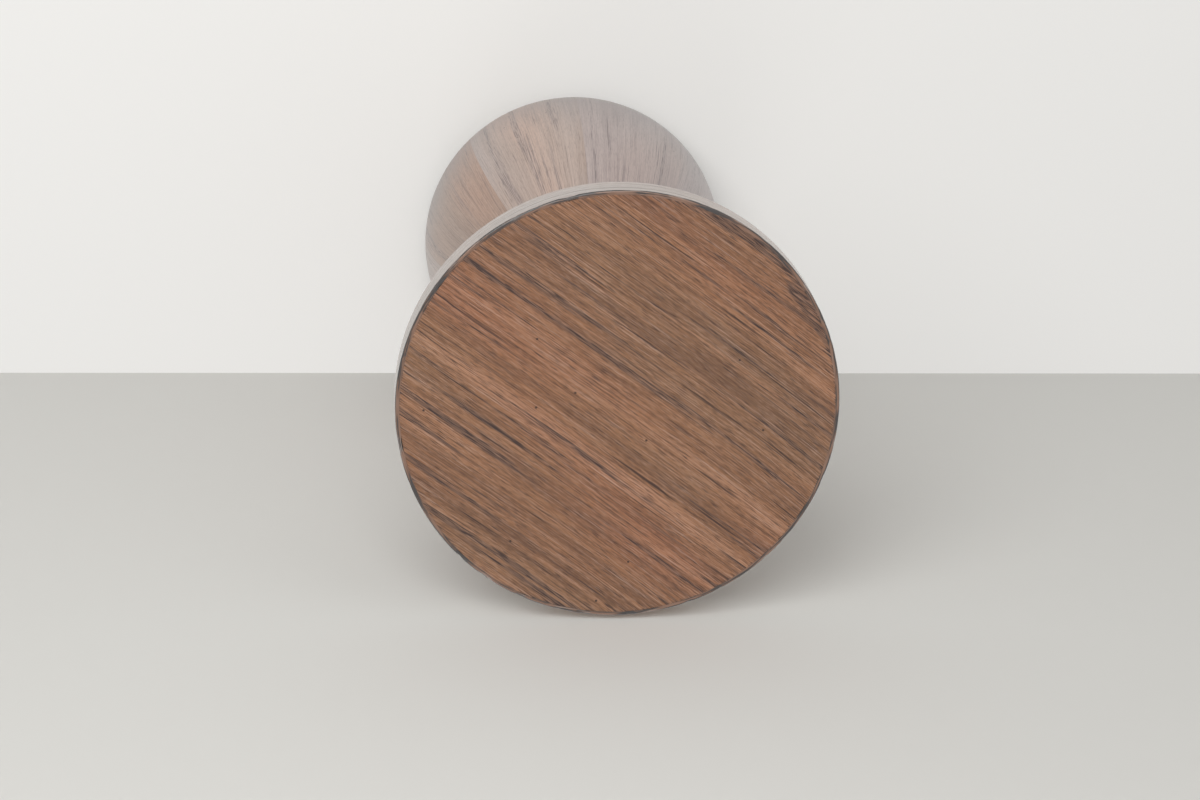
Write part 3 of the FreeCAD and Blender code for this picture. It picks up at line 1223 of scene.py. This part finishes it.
@dataclass
class Hardware:
    """The rod that ties the table together, its fastenings, and the pads it stands on.

    Attributes:
        glides: Number of pads.
        glide_circle: Radius of the circle they stand on, in millimetres.
        first_turn: Angle of the first pad, in degrees.
        glide_radius: Radius of a pad.
        glide_height: Height of a pad.
        glide_round: Rounding of its lower edge.
        round_steps: Pieces of that rounding.
        head_radius: Radius of a nail's head.
        head_low: Height of the head's underside.
        head_high: Height of the head's upper side.
        shank_radius: Radius of a nail.
        tip_z: Height of a nail's tip.
        point_length: Length of a nail's point.
        point_radius: Radius at which a nail's two ends are closed to a tiny flat.
        clearance: Gap round a nail in its pad.
        turned_steps: Sections in a turn of a pad or nail.
        seed: Settles how each is turned about itself.
    """

    glides: int = 4
    glide_circle: float = 89.0
    first_turn: float = 22.5
    glide_radius: float = 9.0
    glide_height: float = 3.0
    glide_round: float = 0.8
    round_steps: int = 5
    head_radius: float = 3.0
    head_low: float = 0.8
    head_high: float = 1.8
    shank_radius: float = 1.25
    tip_z: float = 17.0
    point_length: float = 3.0
    point_radius: float = 0.05
    clearance: float = 0.15
    turned_steps: int = 32
    seed: int = 5

    # The domed head, in shares of its radius and its thickness
    DOME = ((0.6, 0.1), (1.0, 0.45), (1.0, 1.0))

    def pad_outline(self) -> Outline:
        """Gives half a pad's section, with its rounded lower edge and its nail hole.

        Returns:
            The closed outline in millimetres, about its own axis.
        """
        hole = self.head_radius + self.clearance
        shank = self.shank_radius + self.clearance
        edge = self.glide_round
        return joined(
            [(hole, 0.0)],
            arc((self.glide_radius - edge, edge), edge, -90.0, 0.0, self.round_steps),
            [(self.glide_radius, self.glide_height), (shank, self.glide_height)],
            [(shank, self.head_high), (hole, self.head_high)],
        )

    def nail_outline(self) -> Outline:
        """Gives half a nail's section, with its low domed head and its point.

        Returns:
            The closed outline in millimetres, about its own axis.
        """
        thick = self.head_high - self.head_low
        dome = [(self.head_radius * out, self.head_low + thick * up) for out, up in self.DOME]
        return joined(
            [(self.point_radius, self.head_low)],
            dome,
            [(self.shank_radius, self.head_high), (self.shank_radius, self.tip_z - self.point_length)],
            [(self.point_radius, self.tip_z)],
        )

    def build(self, ring: RingOfPieces) -> None:
        """Builds and dresses the pads and nails, and dresses the steel.

        Args:
            ring: The tree that sets pieces out round the axis.
        """
        nylon = NYLON.build()
        steel = ZINC_PLATE.build()
        rows = (
            ("glide_pads", self.pad_outline(), nylon, "nylon", "floor_glides"),
            ("pad_nails", self.nail_outline(), steel, "zinc_steel", "glide_nails"),
        )
        for name, outline, material, slot, node in rows:
            piece = show(name, TurnedForm(outline, steps=self.turned_steps).mesh(name), material)
            ring.apply(
                piece, Count=self.glides, Circle=self.glide_circle * MM,
                First_turn=math.radians(self.first_turn), Seed=self.seed, Finish=material,
            )
            stand_for(piece, slot, node)
        dress(steel, "top_flange", "flange_nut", "flange_screws", "tie_rod", "rod_washer", "rod_nut")


def seen_rays(tree: Tree) -> Node:
    """Tells the rays that show a backdrop, from the camera or by way of gloss or glass, from the rest.

    Args:
        tree: The nodes of a material or of the world.

    Returns:
        A node that gives 1 for such a ray.
    """
    rays = add_node(tree, "ShaderNodeLightPath").outputs
    seen = add_node(tree, MATH, (rays["Is Camera Ray"], rays["Is Glossy Ray"]), operation="MAXIMUM")
    return add_node(tree, MATH, (seen, rays["Is Transmission Ray"]), operation="MAXIMUM")


@dataclass(frozen=True)
class StagePaint(Finish):
    """Matt wall paint for the stage: one pale, even colour that only shows shade.

    Attributes:
        colour: Its colour.
        lift: How much whiter the camera and reflections see it.
        one_sided: Whether it is clear from behind.
    """

    colour: str
    lift: float = 0.0
    one_sided: bool = False

    def surface(self, tree: Tree) -> Node:
        """Draws the paint.

        Args:
            tree: The material's nodes.

        Returns:
            The finished shader.
        """
        paint = add_node(tree, "ShaderNodeBsdfDiffuse", {"Color": linear(self.colour)})
        if self.one_sided:
            behind = add_node(tree, "ShaderNodeNewGeometry").outputs["Backfacing"]
            clear = add_node(tree, "ShaderNodeBsdfTransparent")
            paint = add_node(tree, "ShaderNodeMixShader", (behind, paint, clear))
        if self.lift:
            level = add_node(tree, MATH, (seen_rays(tree), self.lift), operation="MULTIPLY")
            glow = add_node(tree, "ShaderNodeEmission", {"Color": linear(self.colour), "Strength": level})
            paint = add_node(tree, "ShaderNodeAddShader", (paint, glow))
        return paint


@dataclass(frozen=True)
class Lamp:
    """A square soft lamp that faces the table.

    Attributes:
        name: The lamp's name.
        place: Where it hangs, along the studio's three directions, in metres.
        size: Its side in metres.
        radiance: How bright its face is, where 1 is white.
    """

    name: str
    place: tuple[float, float, float]
    size: float
    radiance: float

    def hang(self, place: Vector, aim: Vector) -> None:
        """Hangs the lamp.

        Args:
            place: Where it hangs, in the table's frame.
            aim: The point that it faces.
        """
        light = bpy.data.lights.new(self.name, "AREA")
        light.shape = "SQUARE"
        light.size = self.size
        light.energy = self.radiance * math.pi * self.size * self.size
        lamp = bpy.data.objects.new(self.name, light)
        lamp.location = place
        lamp.rotation_euler = (aim - place).to_track_quat("-Z", "Y").to_euler()
        lamp.visible_camera = False
        bpy.context.scene.collection.objects.link(lamp)


@dataclass
class Studio:
    """A plain pale room with soft light, and a camera at the photograph's viewing angle.

    Directions are along `up_way`, the level direction that points up in the picture, `side_way`, level and
    square to it, and the table's axis.

    Attributes:
        top_z: Height of the table's top, in metres.
        rim_radius: Radius of the top.
        rim_low: Height of the top's lower edge.
        foot_radius: Widest radius of the foot.
        foot_high: Height of that widest circle.
        camera_from_top: Camera's place from the middle of the top, along the three directions.
        aim_on_top: Point on the top that the camera looks at, along the two level directions.
        camera_up: Picture's up, along the first and the last direction.
        lens_mm: Focal length on a sensor of `sensor_mm`.
        sensor_mm: Width of the sensor.
        clip: Nearest and farthest distance that the camera sees.
        extent: Half the floor's side.
        ground_gap: Gap between the table and the ground that it lies on in the main view.
        floor_paint: Paint of the floor.
        ground_paint: Paint of that ground.
        ambient: Level of the even light.
        backdrop: Level of the backdrop that the camera and reflections see.
        lamps: The soft lamps.
    """

    top_z: float
    rim_radius: float
    rim_low: float
    foot_radius: float
    foot_high: float
    camera_from_top: tuple[float, float, float] = (0.7146, 0.2094, 2.2287)
    aim_on_top: tuple[float, float] = (0.00514, 0.01278)
    camera_up: tuple[float, float] = (0.95288, -0.30334)
    lens_mm: float = 103.2
    sensor_mm: float = 36.0
    clip: tuple[float, float] = (0.05, 60.0)
    extent: float = 8.0
    ground_gap: float = 0.001
    floor_paint: StagePaint = StagePaint("matt_floor_paint", "#E4E3E0", lift=0.2)
    ground_paint: StagePaint = StagePaint("matt_ground_paint", "#D8D7D3", one_sided=True)
    ambient: float = 0.46
    backdrop: float = 0.9
    lamps: tuple[Lamp, ...] = (
        Lamp("key_lamp", (1.3, 0.6, 1.9), 1.6, 3.35),
        Lamp("side_lamp", (2.6, -1.2, 1.6), 1.8, 0.5),
        Lamp("back_fill", (-2.6, 0.9, 2.0), 1.8, 1.0),
    )

    up_way = Vector((1.0, -1.0, 0.0)).normalized()
    side_way = Vector((1.0, 1.0, 0.0)).normalized()
    axis = Vector((0.0, 0.0, 1.0))

    def at(self, up: float, side: float, height: float) -> Vector:
        """Gives a point from its distances along the three directions."""
        return self.up_way * up + self.side_way * side + self.axis * height

    def sheet(self, name: str, corners: Iterable[Vector], paint: StagePaint) -> bpy.types.Object:
        """Adds one flat piece of the stage.

        Args:
            name: The object's name.
            corners: Its corners, anticlockwise from the front.
            paint: Its paint.

        Returns:
            The object.
        """
        points = [tuple(c) for c in corners]
        mesh = bpy.data.meshes.new(name)
        mesh.from_pydata(points, [], [tuple(range(len(points)))])
        mesh.materials.append(paint.build())
        piece = bpy.data.objects.new(name, mesh)
        bpy.context.scene.collection.objects.link(piece)
        return piece

    def build_stage(self) -> None:
        """Lays the floor, and the pale ground that the rim and the foot lie against in the main view."""
        far = self.extent
        square = [Vector((x * far, y * far, 0.0)) for x, y in ((-1, -1), (1, -1), (1, 1), (-1, 1))]
        self.sheet("floor", square, self.floor_paint)
        lean = (self.rim_radius - self.foot_radius) / (self.rim_low - self.foot_high)
        foot = -self.foot_radius + lean * self.foot_high - self.ground_gap
        head = foot - lean * far
        ends = ((head, far, far), (head, -far, far), (foot, -far, 0.0), (foot, far, 0.0))
        ground = self.sheet("lying_ground", [self.at(*end) for end in ends], self.ground_paint)
        ground.visible_diffuse = False
        ground.visible_glossy = False
        ground.visible_transmission = False
        ground.visible_shadow = False

    def build_light(self) -> None:
        """Sets the even room light and the soft lamps."""
        world = bpy.data.worlds.new("pale_room")
        bpy.context.scene.world = world
        world.use_nodes = True
        tree = world.node_tree
        tree.nodes.clear()
        white = linear("#FFFFFF")
        even = add_node(tree, "ShaderNodeBackground", {"Color": white, "Strength": self.ambient})
        pale = add_node(tree, "ShaderNodeBackground", {"Color": white, "Strength": self.backdrop})
        mixed = add_node(tree, "ShaderNodeMixShader", (seen_rays(tree), even, pale))
        add_node(tree, "ShaderNodeOutputWorld", [mixed])
        for lamp in self.lamps:
            lamp.hang(self.at(*lamp.place), self.axis * self.top_z / 2.0)

    def build_camera(self) -> None:
        """Stands the camera where the photograph was taken from."""
        lens = bpy.data.cameras.new("camera")
        lens.sensor_width = self.sensor_mm
        lens.sensor_fit = "HORIZONTAL"
        lens.lens = self.lens_mm
        lens.clip_start, lens.clip_end = self.clip
        camera = bpy.data.objects.new("camera", lens)
        middle = self.axis * self.top_z
        place = middle + self.at(*self.camera_from_top)
        forward = (middle + self.at(*self.aim_on_top, 0.0) - place).normalized()
        right = forward.cross(self.at(self.camera_up[0], 0.0, self.camera_up[1])).normalized()
        turn = Matrix((right, right.cross(forward), -forward)).transposed()
        camera.matrix_world = Matrix.Translation(place) @ turn.to_4x4()
        bpy.context.scene.collection.objects.link(camera)
        bpy.context.scene.camera = camera


def main() -> None:
    """Builds the table and its studio."""
    logging.basicConfig(level=logging.INFO, format="%(name)s: %(message)s")
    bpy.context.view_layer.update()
    bpy.context.scene.view_settings.view_transform = "Standard"
    rim_low, rim_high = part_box("top_edge_band")
    pedestal = Pedestal()
    studio = Studio(rim_high.z, rim_high.x, rim_low.z, pedestal.base_radius * MM, pedestal.widest_z * MM)
    studio.build_camera()
    studio.build_light()
    studio.build_stage()
    TableTop().build(WornArris())
    pedestal.build()
    Hardware().build(RingOfPieces())


if __name__ == "__main__":
    main()
